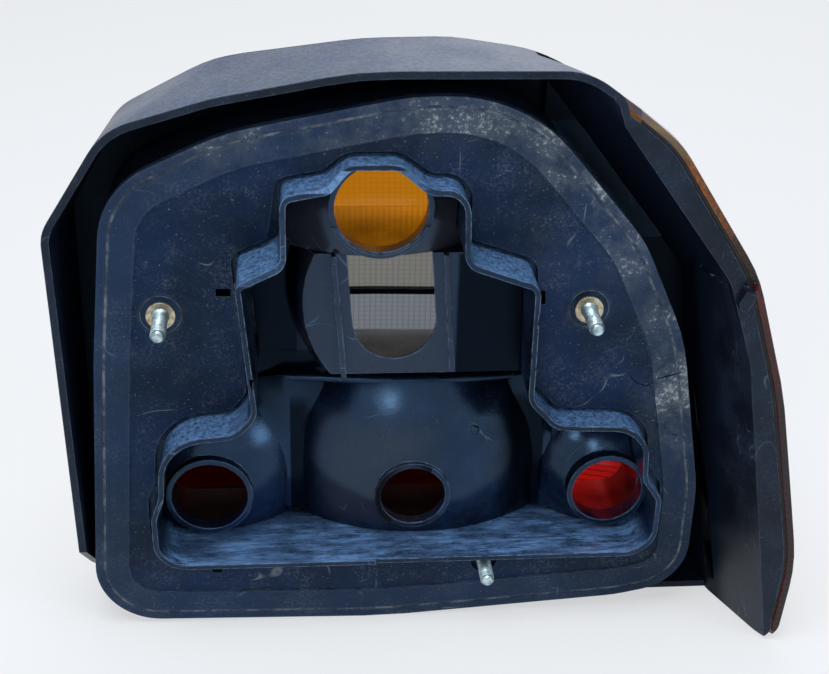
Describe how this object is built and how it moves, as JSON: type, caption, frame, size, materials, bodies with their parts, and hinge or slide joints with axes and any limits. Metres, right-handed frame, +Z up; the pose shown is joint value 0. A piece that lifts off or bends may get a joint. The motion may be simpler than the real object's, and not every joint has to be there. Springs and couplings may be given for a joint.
{
  "type": "tail light cluster",
  "caption": "Wrap-around car tail lamp: moulded shroud and housing, gasket, fixing studs, bulb bowls with open bores, amber, clear and red lenses.",
  "frame": {"origin": "midway between the two upper studs, on the rear face of the gasket", "axes": "+Z up as mounted on the car, +Y towards the lens, +X towards the outboard wing"},
  "size_m": [0.3012, 0.086, 0.2465],
  "materials": {
    "shroud_plastic": "black moulded plastic with a worn gloss",
    "housing_plastic": "black moulded plastic",
    "gasket_foam": "dark closed-cell foam with dust",
    "reflector_plastic": "smooth black back of a moulded reflector",
    "amber_lens": "amber acrylic with fine optics",
    "clear_lens": "clear acrylic with fine optics",
    "red_lens": "red acrylic with fine optics",
    "sealant": "black sealing bead",
    "reflex_red": "red reflex prisms",
    "zinc_steel": "zinc-plated steel",
    "washer_steel": "yellowed zinc washer"
  },
  "bodies": {
    "root": {"outer_shroud": "shroud_plastic", "rear_housing": "housing_plastic", "housing_flange": "housing_plastic", "recess_collar": "housing_plastic", "body_gasket": "gasket_foam", "turn_reflector": "reflector_plastic", "reverse_reflector": "reflector_plastic", "tail_reflector": "reflector_plastic", "turn_lens": "amber_lens", "reverse_lens": "clear_lens", "tail_lens": "red_lens", "lens_seal": "sealant", "wing_seal": "sealant", "reflex_reflector": "reflex_red", "reverse_lens_bar": "housing_plastic", "stud_left": "zinc_steel", "stud_right": "zinc_steel", "stud_lower": "zinc_steel", "washer_left": "washer_steel", "washer_right": "washer_steel", "boss_seal_left": "sealant", "boss_seal_right": "sealant"}
  },
  "joints": []
}
